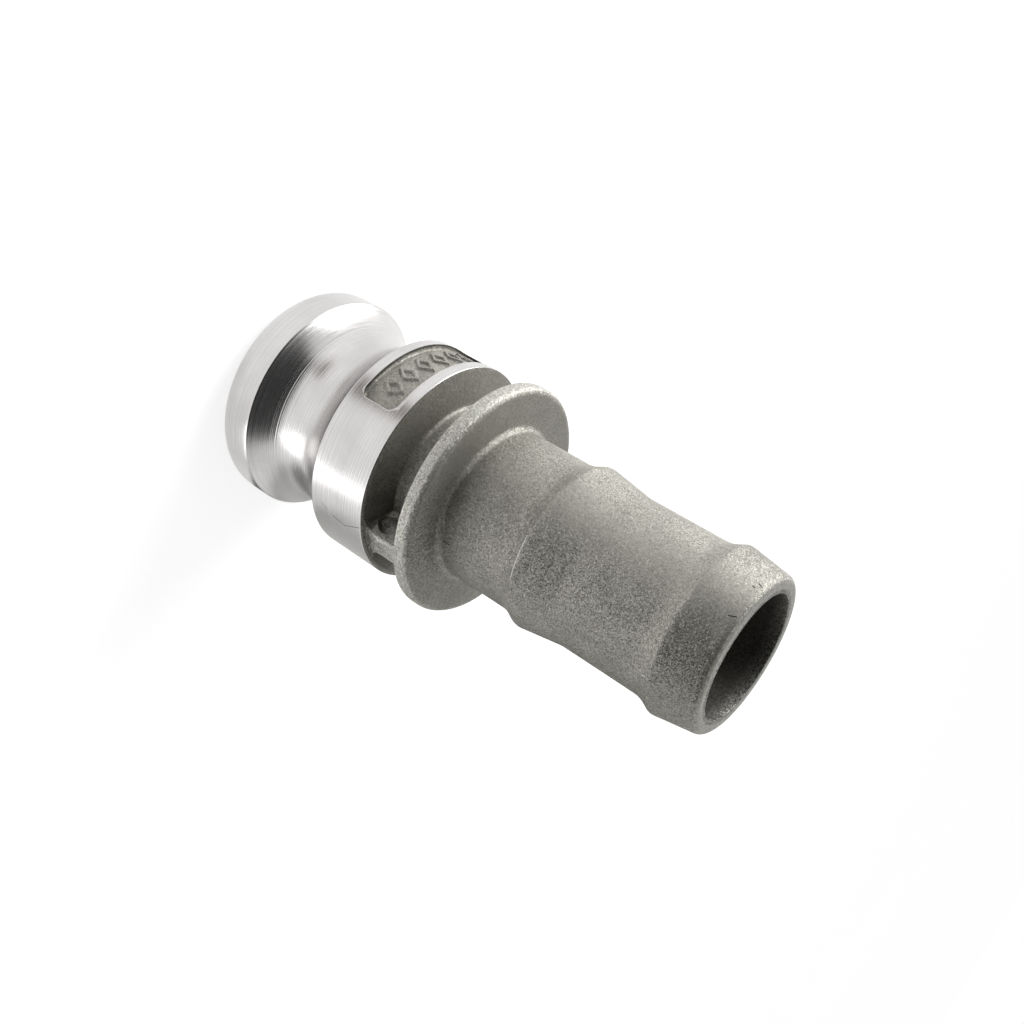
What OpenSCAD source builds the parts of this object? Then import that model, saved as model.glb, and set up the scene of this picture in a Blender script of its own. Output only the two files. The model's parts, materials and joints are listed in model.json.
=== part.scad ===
// Hose adapter for a cam and groove coupling: the plain male half.
// One casting with a turned head. The head has a round groove for the cams of
// the other half, and the barbed shank behind the flange goes into a hose.
// The adapter stands on its nose. +Z runs along its axis from nose to hose,
// and +X points at the eye between collar and flange.

/* [Head] */
// Diameter of the head and of the collar
head_d = 45.5; // [42:0.1:50]
// Length of the head between the nose face and the groove
nose_len = 9.1; // [7:0.1:14]
// Rounding between the nose face and the side of the head
nose_round = 4.3; // [1:0.1:5]
// Width of the break on the inner edge of the nose face
nose_chamfer = 0.6; // [0.2:0.1:1]

/* [Cam groove] */
// Radius of the groove's round section
groove_r = 12.5; // [11:0.1:16]
// Diameter at the bottom of the groove
groove_d = 36.8; // [35:0.1:40]

/* [Collar] */
// Length of the collar between the groove and its back face
collar_len = 13.2; // [11:0.1:20]
// Rounding of the collar's back edge
collar_edge = 0.3; // [0.1:0.1:0.5]

/* [Marking recess] */
// Length of the recess along the axis
recess_len = 8.6; // [6:0.1:9]
// Width of the recess, measured straight across
recess_w = 28.7; // [14:0.1:30]
// Depth of the recess below the collar's surface
recess_depth = 1.1; // [0.6:0.1:1.6]
// Radius of the recess's corners
recess_corner = 1.8; // [0.5:0.1:2.8]
// Strip of collar left between the recess and the back face
recess_edge = 2.4; // [1:0.1:3]
// Direction that the recess faces, in degrees from the eye
recess_angle = -108.5; // [-140:0.5:-60]
// Number of raised lozenges in the recess
mark_count = 6; // [1:1:6]
// Angle from one lozenge to the next
mark_step = 11; // [9:0.1:11.5]
// Length of a lozenge along the axis
mark_len = 5.2; // [3:0.1:5.6]
// Width of a lozenge around the collar
mark_w = 3.4; // [2.4:0.1:3.4]
// Width of a lozenge's raised line
mark_line = 0.8; // [0.5:0.1:0.9]
// Height of a lozenge's raised line
mark_h = 0.5; // [0.2:0.1:0.6]

/* [Waist] */
// Distance between collar and flange, at their rims
waist_len = 9.4; // [8:0.1:14]
// Diameter of the neck between collar and flange
waist_d = 29.6; // [28.6:0.1:31]
// Length by which each side of the waist slopes in, from rim to neck
waist_slope = 1.1; // [0.2:0.1:1.4]
// Fillet at both ends of the neck
waist_fillet = 0.9; // [0.7:0.1:1.4]

/* [Eye] */
// Thickness of the eye
eye_w = 5.5; // [4:0.1:7]
// Distance from the adapter's axis to the eye's outer face
eye_reach = 21.2; // [20.6:0.1:21.6]
// Fillet between the eye's sides and the faces of collar and flange
eye_fillet = 2.5; // [0.5:0.1:3.5]
// Diameter of the hole for a ring or chain
eye_hole_d = 4; // [3:0.1:4.4]
// Distance from the adapter's axis to the hole's centre
eye_hole_reach = 17.8; // [17.4:0.1:18.4]
// Distance from the collar's back face, at its rim, to the hole's centre
eye_hole_rise = 2.9; // [2.8:0.1:5]

/* [Flange] */
// Diameter of the flange that the hose stops against
flange_d = 48; // [46:0.2:56]
// Thickness of the flange
flange_len = 3.5; // [3.4:0.1:8]
// Rounding of the rim on the collar's side
flange_front_round = 0.8; // [0.3:0.1:1.2]
// Rounding of the rim on the hose's side
flange_back_round = 1.4; // [0.3:0.1:2]
// Fillet between flange and shank
flange_fillet = 1.3; // [0.3:0.1:2]

/* [Hose shank] */
// Diameter of the shank between the barbs
shank_d = 31.1; // [29:0.1:33]
// Length of plain shank between the flange and the first barb
shank_len = 15.4; // [8:0.1:30]
// Number of barbs
barb_count = 2; // [1:1:4]
// Distance from one barb to the next
barb_pitch = 30; // [18:0.5:40]
// Diameter over a barb's crest
barb_d = 34; // [33.4:0.1:36]
// Length of the steep side of a barb
barb_rise = 2.9; // [2:0.1:5]
// Length of the long taper of a barb
barb_taper = 9.1; // [7:0.1:12]
// Rounding of a barb's crest
barb_crest_round = 1.2; // [0.3:0.1:2]
// Fillets at a barb's foot and at the end of its taper
barb_fillet = 3; // [0.5:0.1:4]
// Rounding of the outer edge of the mouth
mouth_round = 0.8; // [0.3:0.1:1.2]
// Width of the break on the inner edge of the mouth
mouth_chamfer = 0.4; // [0.2:0.1:0.8]

/* [Passage] */
// Diameter of the passage through the shank
bore_d = 24.9; // [22:0.1:25.4]
// Diameter of the passage through the head
head_bore_d = 30; // [28:0.1:31]
// Depth of the wide part of the passage, from the nose face
head_bore_len = 24; // [12:0.5:28]
// Length of the cone between the wide and the narrow part
bore_cone_len = 14; // [8:0.5:20]

/* [Hidden] */
$fn = 96;
// Length by which a cutting shape stands out of what it cuts
over = 1;
// Length by which the end of a fillet runs on inside the solid beside it
lip = 0.2;

head_r = head_d / 2;
waist_r = waist_d / 2;
flange_r = flange_d / 2;
shank_r = shank_d / 2;
barb_r = barb_d / 2;
bore_r = bore_d / 2;
head_bore_r = head_bore_d / 2;

// The groove is a round ring cut, whose centre lies outside the head
groove_centre_r = groove_d / 2 + groove_r;
groove_half = sqrt(pow(groove_r, 2) - pow(groove_centre_r - head_r, 2));

// Heights above the nose face
groove_z = nose_len + groove_half;
collar_back = groove_z + groove_half + collar_len;
flange_front = collar_back + waist_len;
flange_back = flange_front + flange_len;
barb_len = barb_rise + barb_taper;
first_barb = flange_back + shank_len;
last_barb = first_barb + (barb_count - 1) * barb_pitch;
mouth = last_barb + barb_len;

recess_floor_r = head_r - recess_depth;
recess_z = collar_back - recess_edge - recess_len / 2;

// Rounded outlines: a corner is [x, y, radius], and corners run anticlockwise
function place(p) = [p[0], p[1]];
function heading(p, q) = (place(q) - place(p)) / norm(place(q) - place(p));
function turn(a, b, c) = atan2(cross(heading(a, b), heading(b, c)), heading(a, b) * heading(b, c));
function cut_back(a, b, c) = b[2] * tan(abs(turn(a, b, c)) / 2);
function left_of(v) = [-v[1], v[0]];
function arc_start(a, b, c) = place(b) - heading(a, b) * cut_back(a, b, c);
function arc_end(a, b, c) = place(b) + heading(b, c) * cut_back(a, b, c);
function arc_centre(a, b, c) =
    arc_start(a, b, c) + left_of(heading(a, b)) * b[2] * sign(turn(a, b, c));
function before(p, i) = p[(i + len(p) - 1) % len(p)];
function after(p, i) = p[(i + 1) % len(p)];

module corner_circle(a, b, c) {
    translate(arc_centre(a, b, c))
        circle(r = b[2]);
}

module rounded_outline(p) {
    all = [for (i = [0 : len(p) - 1]) i];
    round_ones = [for (i = all) if (p[i][2] > 0) i];
    difference() {
        union() {
            polygon([for (i = all) each p[i][2] > 0
                ? [arc_start(before(p, i), p[i], after(p, i)), arc_end(before(p, i), p[i], after(p, i))]
                : [place(p[i])]]);
            for (i = round_ones)
                if (turn(before(p, i), p[i], after(p, i)) > 0)
                    corner_circle(before(p, i), p[i], after(p, i));
        }
        for (i = round_ones)
            if (turn(before(p, i), p[i], after(p, i)) < 0)
                corner_circle(before(p, i), p[i], after(p, i));
    }
}

// Outline of the turned and cast body, from the nose to the mouth
module body_outline() {
    barbs = [for (i = [0 : barb_count - 1]) each [
        [shank_r, first_barb + i * barb_pitch, barb_fillet],
        [barb_r, first_barb + i * barb_pitch + barb_rise, barb_crest_round],
        [shank_r, first_barb + i * barb_pitch + barb_len, i < barb_count - 1 ? barb_fillet : mouth_round]
    ]];
    rounded_outline(concat([
        [0, 0, 0],
        [head_r, 0, nose_round],
        [head_r, collar_back, collar_edge],
        [waist_r, collar_back + waist_slope, waist_fillet],
        [waist_r, flange_front - waist_slope, waist_fillet],
        [flange_r, flange_front, flange_front_round],
        [flange_r, flange_back, flange_back_round],
        [shank_r, flange_back, flange_fillet]
    ], barbs, [[0, mouth, 0]]));
}

module body() {
    rotate_extrude()
        difference() {
            body_outline();
            translate([groove_centre_r, groove_z])
                circle(r = groove_r);
        }
}

// The way through for the liquid: wide in the head, then a cone, then the shank's bore
module passage() {
    rotate_extrude()
        polygon([
            [0, -over],
            [head_bore_r + nose_chamfer + over, -over],
            [head_bore_r, nose_chamfer],
            [head_bore_r, head_bore_len],
            [bore_r, head_bore_len + bore_cone_len],
            [bore_r, mouth - mouth_chamfer],
            [bore_r + mouth_chamfer + over, mouth + over],
            [0, mouth + over]
        ]);
}

// Turns a flat outline, drawn across and along the axis, to face away from the axis
module facing(angle, z) {
    rotate([0, 0, angle])
        translate([0, 0, z])
            rotate([90, 0, 90])
                children();
}

// Eye between collar and flange, with fillets along both faces
module eye() {
    flare = eye_w / 2 + eye_fillet + lip;
    facing(0, collar_back)
        linear_extrude(height = eye_reach)
            rounded_outline([
                [-flare, -over, 0],
                [flare, -over, 0],
                [flare, 0, 0],
                [eye_w / 2, 0, eye_fillet],
                [eye_w / 2, waist_len, eye_fillet],
                [flare, waist_len, 0],
                [flare, waist_len + over, 0],
                [-flare, waist_len + over, 0],
                [-flare, waist_len, 0],
                [-eye_w / 2, waist_len, eye_fillet],
                [-eye_w / 2, 0, eye_fillet],
                [-flare, 0, 0]
            ]);
}

module eye_hole() {
    translate([eye_hole_reach, 0, collar_back + eye_hole_rise])
        rotate([90, 0, 0])
            cylinder(h = eye_w + 2 * eye_fillet, d = eye_hole_d, center = true);
}

// Shallow pocket in the collar, with straight sides and a round floor
module recess() {
    half_w = recess_w / 2;
    half_len = recess_len / 2;
    difference() {
        facing(recess_angle, recess_z)
            linear_extrude(height = head_r + over)
                rounded_outline([
                    [-half_w, -half_len, recess_corner],
                    [half_w, -half_len, recess_corner],
                    [half_w, half_len, recess_corner],
                    [-half_w, half_len, recess_corner]
                ]);
        cylinder(h = mouth, r = recess_floor_r);
    }
}

module lozenge(w, len) {
    polygon([[-w / 2, 0], [0, -len / 2], [w / 2, 0], [0, len / 2]]);
}

// Row of plain raised lozenges on the recess's floor
module marks() {
    intersection() {
        for (i = [0 : mark_count - 1])
            facing(recess_angle + (i - (mark_count - 1) / 2) * mark_step, recess_z)
                linear_extrude(height = head_r)
                    difference() {
                        lozenge(mark_w, mark_len);
                        lozenge(mark_w - 2 * mark_line, mark_len - 2 * mark_line * mark_len / mark_w);
                    }
        difference() {
            cylinder(h = mouth, r = recess_floor_r + mark_h);
            cylinder(h = mouth, r = recess_floor_r - mark_h);
        }
    }
}

module hose_adapter() {
    color("silver")
        difference() {
            union() {
                difference() {
                    union() {
                        body();
                        eye();
                    }
                    recess();
                }
                marks();
            }
            passage();
            eye_hole();
        }
}

hose_adapter();
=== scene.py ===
# %% [markdown]
# # A hose adapter: one casting with a turned head
# The real object is poured in aluminium in a sand mould. A lathe then cuts the head,
# the round groove and the outside of the collar bright, and everything else keeps the
# grey skin of the sand. So there is one piece with two finishes. Nearly all of it is
# round about one axis, which makes it a lesson in a lathe built from nodes. Its sizes
# are written in millimetres, because a drawing has them so, and MM turns them to metres.

# %% The frame
import json
import math
import bpy
from mathutils import Matrix, Vector

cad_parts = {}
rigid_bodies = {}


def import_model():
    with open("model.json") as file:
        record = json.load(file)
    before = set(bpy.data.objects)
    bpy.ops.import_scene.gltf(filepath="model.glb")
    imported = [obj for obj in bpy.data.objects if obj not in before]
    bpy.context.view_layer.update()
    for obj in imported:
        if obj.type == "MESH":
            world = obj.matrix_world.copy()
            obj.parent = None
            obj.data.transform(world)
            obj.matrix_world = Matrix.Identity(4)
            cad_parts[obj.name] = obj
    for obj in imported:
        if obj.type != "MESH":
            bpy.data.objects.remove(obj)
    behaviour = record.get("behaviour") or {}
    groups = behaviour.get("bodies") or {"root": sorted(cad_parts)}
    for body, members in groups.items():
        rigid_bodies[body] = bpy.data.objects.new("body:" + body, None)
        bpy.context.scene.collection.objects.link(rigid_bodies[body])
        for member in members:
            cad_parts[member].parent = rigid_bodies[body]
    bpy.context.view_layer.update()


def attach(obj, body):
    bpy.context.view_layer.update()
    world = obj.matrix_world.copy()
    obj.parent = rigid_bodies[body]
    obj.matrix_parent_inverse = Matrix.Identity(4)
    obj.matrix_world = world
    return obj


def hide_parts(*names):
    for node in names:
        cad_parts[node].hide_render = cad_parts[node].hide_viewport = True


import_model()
MM = 0.001

# %% [markdown]
# ## Small helpers
# A hex colour is what a painter or a web page writes. The renderer wants linear light,
# so one function turns the first into the second. Node trees are long to write by
# hand, so one function adds a node, sets it and joins it up: an input that is given as
# a socket is linked, and any other input is typed in. It hands back an output, so that
# nodes can be written one inside another, as a formula is.
#
# Inputs that share a name are given by number. A Math node has its values at 0, 1 and
# 2. A Map Range node has the value at 0, the range it comes from at 1 and 2, and the
# range it goes to at 3 and 4. A Mix node has its share at 0 and its colours at 6 and 7.


# %% Colours
def colour(hex_text):
    """A hex colour in sRGB as linear red, green, blue and alpha."""
    parts = [int(hex_text[i:i + 2], 16) / 255 for i in (1, 3, 5)]
    return [p / 12.92 if p <= 0.04045 else ((p + 0.055) / 1.055) ** 2.4 for p in parts] + [1]


print("a middle grey in linear light:", round(colour("#808080")[0], 3))


# %% Adding nodes and objects
def add(tree, kind, inputs=None, out=0, **settings):
    """Adds a node and returns one of its outputs. Inputs are named, or numbered where names repeat."""
    node = tree.nodes.new(kind)
    for name, value in settings.items():
        setattr(node, name, value)
    for key, value in (inputs or {}).items():
        if isinstance(value, bpy.types.NodeSocket):
            tree.links.new(value, node.inputs[key])
        else:
            node.inputs[key].default_value = value
    return node.outputs[out] if node.outputs else None


def show(thing):
    """Puts an object in the scene."""
    bpy.context.scene.collection.objects.link(thing)
    return thing


# %% [markdown]
# ## Camera
# The adapter stands on its nose, but the photograph shows it lying across the picture.
# So the camera looks down at it from the side and is rolled by a third of a turn. Its
# place was found by matching the round edges with those in the photograph, and the lens
# is an ordinary one, with which the adapter fills half the width of the frame.

# %% The camera
CAMERA_PLACE = Vector((109.4, -172.7, 165.5)) * MM
CAMERA_AIM = Vector((-0.43, -0.26, 58.45)) * MM
CAMERA_ROLL = 121.14
LENS = 42.76
SENSOR = 36
NEAREST = 10

camera_data = bpy.data.cameras.new("camera")
camera_data.lens = LENS
camera_data.sensor_width = SENSOR
camera_data.clip_start = NEAREST * MM
camera = show(bpy.data.objects.new("camera", camera_data))
looking = (CAMERA_AIM - CAMERA_PLACE).to_track_quat("-Z", "Y").to_matrix().to_4x4()
rolled = Matrix.Rotation(math.radians(CAMERA_ROLL), 4, "Z")
camera.matrix_world = Matrix.Translation(CAMERA_PLACE) @ looking @ rolled
bpy.context.scene.camera = camera
print("camera at", [round(v / MM, 1) for v in CAMERA_PLACE], "mm, lens", LENS, "mm")

# %% [markdown]
# ## Sizes
# Heights run along the axis from the nose face. They are worked out from the few sizes
# that a maker would measure, as on the drawing that the metal was made from. R is a
# radius, a ROUND or a FILLET the radius of a rounded corner, and a BREAK the width of a
# broken edge.

# %% Head, groove and collar, in millimetres
HEAD_R = 22.75
NOSE_LEN = 9.1
NOSE_ROUND = 4.3
NOSE_BREAK = 0.6
GROOVE_R = 12.5
GROOVE_BOTTOM_R = 18.4
GROOVE_EDGE = 0.5
COLLAR_LEN = 13.2
COLLAR_EDGE = 0.2

groove_centre_r = GROOVE_BOTTOM_R + GROOVE_R
groove_half = math.sqrt(GROOVE_R ** 2 - (groove_centre_r - HEAD_R) ** 2)
groove_z = NOSE_LEN + groove_half
collar_back = groove_z + groove_half + COLLAR_LEN
print("groove from", NOSE_LEN, "to", round(groove_z + groove_half, 2), "mm")

# %% Waist, flange, shank and barbs, in millimetres
WAIST_LEN = 9.4
WAIST_R = 14.8
WAIST_SLOPE = 1.1
WAIST_FILLET = 0.9
FLANGE_R = 24
FLANGE_LEN = 3.5
FLANGE_FRONT_ROUND = 0.8
FLANGE_BACK_ROUND = 1.4
FLANGE_FILLET = 1.3
SHANK_R = 15.55
SHANK_LEN = 15.4
BARB_COUNT = 2
BARB_PITCH = 30
BARB_R = 17
BARB_RISE = 2.9
BARB_TAPER = 9.1
BARB_CREST_ROUND = 1.2
BARB_FILLET = 7
MOUTH_ROUND = 1.4

flange_front = collar_back + WAIST_LEN
flange_back = flange_front + FLANGE_LEN
barb_feet = [flange_back + SHANK_LEN + i * BARB_PITCH for i in range(BARB_COUNT)]
mouth = barb_feet[-1] + BARB_RISE + BARB_TAPER
print("collar back at", round(collar_back, 2), "mm, mouth at", round(mouth, 2), "mm")

# %% The passage, in millimetres
BORE_R = 12.45
MOUTH_BREAK = 0.15
HEAD_BORE_R = 15
HEAD_BORE_LEN = 24
BORE_CONE_LEN = 14
CONE_ROUND = 2
INNER_EDGE = 0.15
print("passage narrows from", HEAD_BORE_LEN, "to", HEAD_BORE_LEN + BORE_CONE_LEN, "mm")

# %% [markdown]
# ## Outlines with rounded corners
# A casting has no sharp corners, because sand can't hold them. An outline is a list of
# corners, each with the radius of its rounding. One helper replaces a corner by an arc
# that touches both its sides. Another fills a long straight stretch with points, so
# that the surface has something to be uneven with later.


# %% Rounding an outline
ARC_STEP = math.radians(11)


def corner_arc(before, corner, after, radius):
    """Points of the arc that rounds a corner, or the corner alone if it is sharp."""
    if radius == 0:
        return [corner]
    back = (before - corner).normalized()
    ahead = (after - corner).normalized()
    half = back.angle(ahead) / 2
    centre = corner + (back + ahead).normalized() * (radius / math.sin(half))
    start = corner + back * (radius / math.tan(half)) - centre
    turn = (math.pi - 2 * half) * (-1 if back.cross(ahead) > 0 else 1)
    steps = max(2, math.ceil(abs(turn) / ARC_STEP))
    return [centre + Matrix.Rotation(turn * i / steps, 2) @ start for i in range(steps + 1)]


def rounded(corners):
    """A closed outline through corners (x, y, radius), which run anticlockwise."""
    places = [Vector(c[:2]) for c in corners]
    after = places[1:] + places[:1]
    arcs = [corner_arc(places[i - 1], places[i], after[i], c[2]) for i, c in enumerate(corners)]
    return [point for arc in arcs for point in arc]


def filled(points, longest):
    """The same open line, with no more than that distance from one point to the next."""
    result = []
    for start, end in zip(points, points[1:]):
        parts = max(1, math.ceil((end - start).length / longest))
        result += [start.lerp(end, k / parts) for k in range(parts)]
    return result


# %% [markdown]
# ## The section of the adapter
# The outline is half of a section through the metal: out along the nose, up the
# outside, over the mouth and back down through the passage. The groove is an arc of
# its own, whose centre lies outside the metal, because the cams that close into it are
# round. Its two edges are broken a little, as a file or a worn tool leaves them.

# %% The turned part of the section
GROOVE_STEPS = 26
groove_turn = math.asin(groove_half / GROOVE_R)
groove_angles = [groove_turn * (2 * i / GROOVE_STEPS - 1) for i in range(GROOVE_STEPS + 1)]
groove_corners = [
    (groove_centre_r - GROOVE_R * math.cos(a), groove_z + GROOVE_R * math.sin(a),
     GROOVE_EDGE if abs(a) == groove_turn else 0)
    for a in groove_angles
]
head_corners = [
    (HEAD_BORE_R + NOSE_BREAK, 0, INNER_EDGE),
    (HEAD_R, 0, NOSE_ROUND),
    *groove_corners,
    (HEAD_R, collar_back, COLLAR_EDGE),
]
print("head:", len(head_corners), "corners")

# %% The cast part and the passage
cast_corners = [
    (WAIST_R, collar_back + WAIST_SLOPE, WAIST_FILLET),
    (WAIST_R, flange_front - WAIST_SLOPE, WAIST_FILLET),
    (FLANGE_R, flange_front, FLANGE_FRONT_ROUND),
    (FLANGE_R, flange_back, FLANGE_BACK_ROUND),
    (SHANK_R, flange_back, FLANGE_FILLET),
]
for foot in barb_feet:
    end_round = MOUTH_ROUND if foot == barb_feet[-1] else BARB_FILLET
    cast_corners += [
        (SHANK_R, foot, BARB_FILLET),
        (BARB_R, foot + BARB_RISE, BARB_CREST_ROUND),
        (SHANK_R, foot + BARB_RISE + BARB_TAPER, end_round),
    ]
passage_corners = [
    (BORE_R, mouth, MOUTH_BREAK),
    (BORE_R, HEAD_BORE_LEN + BORE_CONE_LEN, CONE_ROUND),
    (HEAD_BORE_R, HEAD_BORE_LEN, CONE_ROUND),
    (HEAD_BORE_R, NOSE_BREAK, 0),
]
section = rounded(head_corners + cast_corners + passage_corners)
print("section:", len(section), "points")

# %% [markdown]
# ## Points for the lathe
# The outside gets a point for every 0.9 mm and the passage one for every 3 mm, since
# nobody sees far into it. Each point carries three facts on the mesh. One says whether
# the lathe has cut it, which is so from the nose to the rounding on the collar's back
# edge. Another is how far it lies along the section, and the marks of the turning tool
# will follow that. The third is a share of wear and painted highlight: the flange's rim
# and the edge of the mouth stick out, so other metal has polished their grains, and a
# painted highlight is laid on them as well.

# %% Points along the section
OUTSIDE_STEP = 0.9
PASSAGE_STEP = 3
inner_mouth = Vector((BORE_R + MOUTH_BREAK, mouth))
mouth_at = min(range(len(section)), key=lambda i: (section[i] - inner_mouth).length)
outside = filled(section[:mouth_at + 1], OUTSIDE_STEP)
passage = filled(section[mouth_at:] + section[:1], PASSAGE_STEP)
profile = outside + passage
along = [0]
for here, there in zip(profile, profile[1:]):
    along.append(along[-1] + (there - here).length)
passage_start = along[len(outside) - 1] * MM
print("profile:", len(profile), "points, passage from", round(passage_start / MM, 1), "mm along it")

# %% The section as a mesh
TINY = 0.001
RUBBED_AND_HIGHLIGHT_EDGE = 0.5
RIM_RUBBED_AND_HIGHLIGHT = 1
MOUTH_RUBBED_AND_HIGHLIGHT = 0.7


def rubbed_and_highlight_share(point):
    """How far handling has polished a point of the section, and how much highlight is painted on it, from 0
    to 1.
    """
    if point.x > FLANGE_R - RUBBED_AND_HIGHLIGHT_EDGE:
        return RIM_RUBBED_AND_HIGHLIGHT
    return MOUTH_RUBBED_AND_HIGHLIGHT if point.y > mouth - RUBBED_AND_HIGHLIGHT_EDGE else 0


point_facts = {
    "turned": [i < len(outside) and p.y < collar_back + TINY for i, p in enumerate(profile)],
    "along": [a * MM for a in along],
    "rubbed_and_highlight": [rubbed_and_highlight_share(p) for p in profile],
}
section_mesh = bpy.data.meshes.new("section")
section_mesh.from_pydata([(p.x * MM, 0, p.y * MM) for p in profile], [], [])
for name, values in point_facts.items():
    section_mesh.attributes.new(name, "FLOAT", "POINT").data.foreach_set("value", values)
body = show(bpy.data.objects.new("hose_adapter_metal", section_mesh))
print("turned points:", sum(point_facts["turned"]), "of", len(profile))

# %% [markdown]
# ## Marks and wear
# Some marks sit at one place: a scratch, a nick, the line where the mould's halves met.
# Each is a short stroke on the surface. The surface is unrolled first, like the label
# of a tin: the angle about the axis becomes one direction and the height the other. A
# node group then measures how far a spot lies from a stroke. A painted image would
# do it too, but a stroke stays sharp from near by and needs no file.

# %% The unrolled surface
UNROLL_R = 16 * MM


def group(name, sockets, output):
    """An empty shader group with inputs (name, kind), and one output. Returns it and its inputs."""
    tree = bpy.data.node_groups.new(name, "ShaderNodeTree")
    for label, kind in sockets:
        tree.interface.new_socket(label, in_out="INPUT", socket_type=kind)
    tree.interface.new_socket(output[0], in_out="OUTPUT", socket_type=output[1])
    return tree, add(tree, "NodeGroupInput").node.outputs if sockets else None


unrolled, _ = group("unrolled", [], ("Unrolled", "NodeSocketVector"))
spot = add(unrolled, "ShaderNodeTexCoord", out="Object")
spot_x = add(unrolled, "ShaderNodeSeparateXYZ", {0: spot})
angle = add(unrolled, "ShaderNodeMath", {0: spot_x.node.outputs[1], 1: spot_x}, operation="ARCTAN2")
around = add(unrolled, "ShaderNodeMath", {0: angle, 1: UNROLL_R}, operation="MULTIPLY")
flat = add(unrolled, "ShaderNodeCombineXYZ", {0: around, 1: spot_x.node.outputs[2]})
add(unrolled, "NodeGroupOutput", {0: flat})
print("group:", unrolled.name, "with", len(unrolled.nodes), "nodes")

# %% One stroke
STROKE_CORE = 0.15
STROKE_EDGE = 0.5

stroke, ends = group(
    "stroke",
    [("Where", "NodeSocketVector"), ("From", "NodeSocketVector"), ("To", "NodeSocketVector"),
     ("Width", "NodeSocketFloat")],
    ("Mask", "NodeSocketFloat"),
)
run = add(stroke, "ShaderNodeVectorMath", {0: ends["To"], 1: ends["From"]}, operation="SUBTRACT")
off = add(stroke, "ShaderNodeVectorMath", {0: ends["Where"], 1: ends["From"]}, operation="SUBTRACT")
across = add(stroke, "ShaderNodeVectorMath", {0: off, 1: run}, out=1, operation="DOT_PRODUCT")
whole = add(stroke, "ShaderNodeVectorMath", {0: run, 1: run}, out=1, operation="DOT_PRODUCT")
share = add(stroke, "ShaderNodeMath", {0: across, 1: whole}, operation="DIVIDE", use_clamp=True)
nearest = add(stroke, "ShaderNodeVectorMath", {0: run, "Scale": share}, operation="SCALE")
away = add(stroke, "ShaderNodeVectorMath", {0: off, 1: nearest}, out=1, operation="DISTANCE")
near = add(stroke, "ShaderNodeMath", {0: away, 1: ends["Width"]}, operation="DIVIDE")
mask = add(stroke, "ShaderNodeMapRange", {0: near, 1: STROKE_EDGE, 2: STROKE_CORE, 3: 0, 4: 1})
add(stroke, "NodeGroupOutput", {0: mask})
print("group:", stroke.name, "with", len(stroke.nodes), "nodes")


# %% Several strokes
def strokes(tree, lines, width):
    """The largest mask of several strokes. A stroke is (angle, height, angle, height)."""
    where = add(tree, "ShaderNodeGroup", node_tree=unrolled)
    total = 0
    for a0, z0, a1, z1 in lines:
        start = (math.radians(a0) * UNROLL_R, z0 * MM, 0)
        end = (math.radians(a1) * UNROLL_R, z1 * MM, 0)
        here = add(tree, "ShaderNodeGroup",
                   {"Where": where, "From": start, "To": end, "Width": width * MM}, node_tree=stroke)
        total = add(tree, "ShaderNodeMath", {0: total, 1: here}, operation="MAXIMUM")
    return total


# %% A new material
def new_material(name):
    """A material with an empty tree and a finished shader. Returns it, its tree and its shader."""
    material = bpy.data.materials.new(name)
    material.use_nodes = True
    tree = material.node_tree
    return material, tree, tree.nodes["Principled BSDF"]


# %% [markdown]
# ## Turned aluminium
# The head is bare aluminium from the lathe, bright and a little warm. It is all metal,
# and its roughness is about 0.2, as a clean cut leaves it. The tool leaves fine rings
# around the axis. They draw each highlight out along the axis, which is what the
# anisotropic setting does. Real rings lie closer still, and are drawn 0.28 mm apart so
# that they show. Their pattern follows the distance along the section, because the
# tool did too. A slow noise makes the metal duller in places, as fingers do.

# %% Turned aluminium: rings, smears and scratches
TOOL_RINGS = 0.28
SMEAR = 9
ANISOTROPY = 0.75
SCRATCHES = [(-7, 33.8, -5.5, 36.9), (-5.5, 36.9, -10.3, 40.9)]
SCRATCH_W = 0.24
FAINT_SCRATCHES = [(-10.8, 30.8, -9, 32.2)]
FAINT_SCRATCH_W = 0.3

turned_aluminium, tree, shader = new_material("turned_aluminium")
shader.inputs["Metallic"].default_value = 1
shader.inputs["Anisotropic"].default_value = ANISOTROPY
tangent = add(tree, "ShaderNodeTangent", direction_type="RADIAL", axis="Z")
tree.links.new(tangent, shader.inputs["Tangent"])
along_section = add(tree, "ShaderNodeAttribute", out="Fac", attribute_name="along")
rings = add(tree, "ShaderNodeTexNoise",
            {"W": along_section, "Scale": 1 / (TOOL_RINGS * MM), "Detail": 2.0}, noise_dimensions="1D")
place = add(tree, "ShaderNodeTexCoord", out="Object")
smears = add(tree, "ShaderNodeTexNoise", {"Vector": place, "Scale": 1 / (SMEAR * MM), "Detail": 3.0})
scratch = strokes(tree, SCRATCHES, SCRATCH_W)
faint = strokes(tree, FAINT_SCRATCHES, FAINT_SCRATCH_W)
print("scratches:", len(SCRATCHES + FAINT_SCRATCHES))

# %% Turned aluminium: gloss, colour and relief
NOISE_LOW = 0.3
NOISE_HIGH = 0.7
STREAKS_LOW = 0.1
STREAKS_HIGH = 0.4
FINE_ROUGHNESS = 0.15
RING_ROUGHNESS = 0.24
SMEAR_ROUGHNESS = 0.06
FAINT_SHARE = 0.35
SCRATCH_DEPTH = 1.5
TOOL_DEPTH = 0.036
TOOL_STRENGTH = 0.7

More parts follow.
